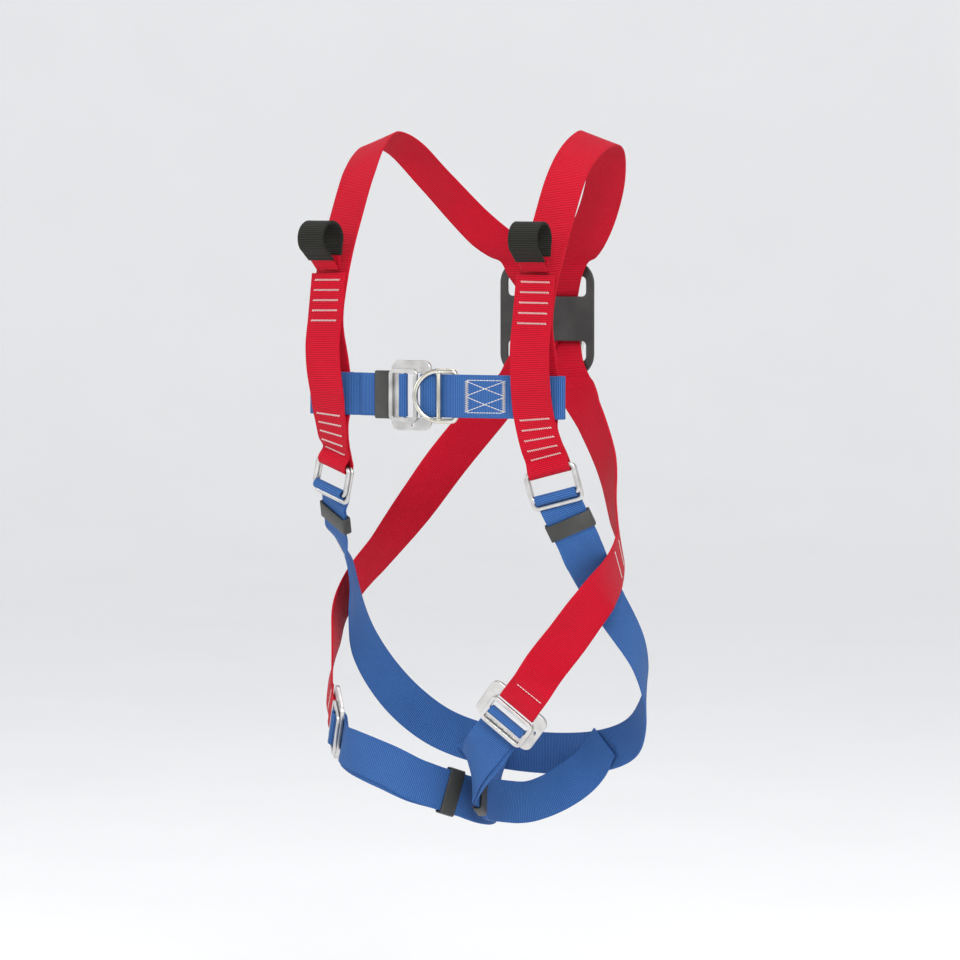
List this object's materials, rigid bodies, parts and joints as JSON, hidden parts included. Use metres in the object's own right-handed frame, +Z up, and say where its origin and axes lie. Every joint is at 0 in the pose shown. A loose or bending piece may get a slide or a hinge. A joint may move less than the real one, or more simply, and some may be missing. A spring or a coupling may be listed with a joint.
{
  "type": "safety harness",
  "caption": "Full-body safety harness worn on the trunk, with webbing straps, a back ring on a plate, a chest ring, textile front loops, plate buckles and ring adjusters.",
  "frame": {"origin": "Midway between the two shoulder straps at the height of the shoulders, where the wearer's body holds the harness up.", "axes": "+Z up along the wearer, -Y the way the wearer faces, +X the wearer's left."},
  "size_m": [0.3694, 0.301, 0.7274],
  "materials": {
    "red_webbing": "woven polyester webbing, matt with a slight sheen",
    "blue_webbing": "woven polyester webbing, ribbed across its width",
    "black_sleeve": "woven sleeve, charcoal",
    "black_plastic": "moulded plastic, semi-matt",
    "forged_steel": "zinc-plated forged steel, satin",
    "plated_steel": "bright plated steel"
  },
  "bodies": {
    "root": {"seat_strap": "blue_webbing", "chest_strap_left": "blue_webbing", "chest_strap_right": "blue_webbing", "chest_buckle_frame": "forged_steel", "dorsal_plate": "black_plastic", "shoulder_strap_left": "red_webbing", "adjuster_back_ring_left": "forged_steel", "leg_strap_left": "blue_webbing", "leg_buckle_frame_left": "forged_steel", "shoulder_strap_right": "red_webbing", "adjuster_back_ring_right": "forged_steel", "leg_strap_right": "blue_webbing", "leg_buckle_frame_right": "forged_steel"},
    "chest_plate": {"chest_buckle_plate": "forged_steel", "chest_strap_turn": "blue_webbing"},
    "chest_keeper": {"chest_keeper": "black_plastic"},
    "chest_ring": {"chest_ring": "plated_steel"},
    "dorsal_ring": {"dorsal_ring": "forged_steel"},
    "front_loop_left": {"front_loop_left": "black_sleeve"},
    "adjuster_left": {"adjuster_front_ring_left": "forged_steel", "seat_strap_turn_left": "blue_webbing"},
    "hip_keeper_left": {"hip_keeper_left": "black_plastic"},
    "leg_plate_left": {"leg_buckle_plate_left": "forged_steel", "leg_strap_turn_left": "blue_webbing"},
    "leg_keeper_left": {"leg_keeper_left": "black_plastic"},
    "front_loop_right": {"front_loop_right": "black_sleeve"},
    "adjuster_right": {"adjuster_front_ring_right": "forged_steel", "seat_strap_turn_right": "blue_webbing"},
    "hip_keeper_right": {"hip_keeper_right": "black_plastic"},
    "leg_plate_right": {"leg_buckle_plate_right": "forged_steel", "leg_strap_turn_right": "blue_webbing"},
    "leg_keeper_right": {"leg_keeper_right": "black_plastic"}
  },
  "joints": [
    {"name": "dorsal_ring_swing", "type": "hinge", "parent": "root", "child": "dorsal_ring", "pos_m": [0, 0.123, -0.1825], "axis": [1, 0, 0], "range_deg": [0, 95]},
    {"name": "chest_ring_swing", "type": "hinge", "parent": "root", "child": "chest_ring", "pos_m": [0.033, -0.1227, -0.264], "axis": [0, 0, 1], "range_deg": [0, 100]},
    {"name": "front_loop_left_nod", "type": "hinge", "parent": "root", "child": "front_loop_left", "pos_m": [0.124, -0.117, -0.136], "axis": [-0.9962, -0.0872, 0], "range_deg": [-8, 20], "stiffness_Nm_per_rad": 0.25},
    {"name": "adjuster_left_tilt", "type": "hinge", "parent": "root", "child": "adjuster_left", "pos_m": [0.1293, -0.09952, -0.33781], "axis": [-0.9187, -0.2985, -0.2588], "range_deg": [0, 13]},
    {"name": "front_loop_right_nod", "type": "hinge", "parent": "root", "child": "front_loop_right", "pos_m": [-0.124, -0.117, -0.136], "axis": [-0.9962, 0.0872, 0], "range_deg": [-8, 20], "stiffness_Nm_per_rad": 0.25},
    {"name": "adjuster_right_tilt", "type": "hinge", "parent": "root", "child": "adjuster_right", "pos_m": [-0.1293, -0.09952, -0.33781], "axis": [-0.9187, 0.2985, 0.2588], "range_deg": [0, 13]},
    {"name": "leg_plate_left_lift", "type": "hinge", "parent": "root", "child": "leg_plate_left", "pos_m": [0.06718, -0.09392, -0.6084], "axis": [0.7348, 0.253, -0.6293], "range_deg": [0, 20]},
    {"name": "leg_plate_right_lift", "type": "hinge", "parent": "root", "child": "leg_plate_right", "pos_m": [-0.1431, -0.07125, -0.62739], "axis": [0.412, -0.4575, 0.788], "range_deg": [0, 20]},
    {"name": "chest_plate_lift", "type": "hinge", "parent": "root", "child": "chest_plate", "pos_m": [-0.044, -0.1264, -0.264], "axis": [0, 0, -1], "range_deg": [0, 20]},
    {"name": "chest_keeper_slide", "type": "slide", "parent": "root", "child": "chest_keeper", "axis": [-1, 0.0067, 0], "range_m": [-0.0025, 0.003]},
    {"name": "hip_keeper_left_slide", "type": "slide", "parent": "root", "child": "hip_keeper_left", "axis": [0.1942, 0.4717, -0.8601], "range_m": [-0.003, 0.003]},
    {"name": "hip_keeper_right_slide", "type": "slide", "parent": "root", "child": "hip_keeper_right", "axis": [-0.1942, 0.4717, -0.8601], "range_m": [-0.003, 0.003]},
    {"name": "leg_keeper_left_slide", "type": "slide", "parent": "root", "child": "leg_keeper_left", "axis": [-0.1556, 0.8561, -0.4929], "range_m": [-0.003, 0.003]},
    {"name": "leg_keeper_right_slide", "type": "slide", "parent": "root", "child": "leg_keeper_right", "axis": [0.3841, 0.8707, -0.3073], "range_m": [-0.003, 0.003]}
  ]
}
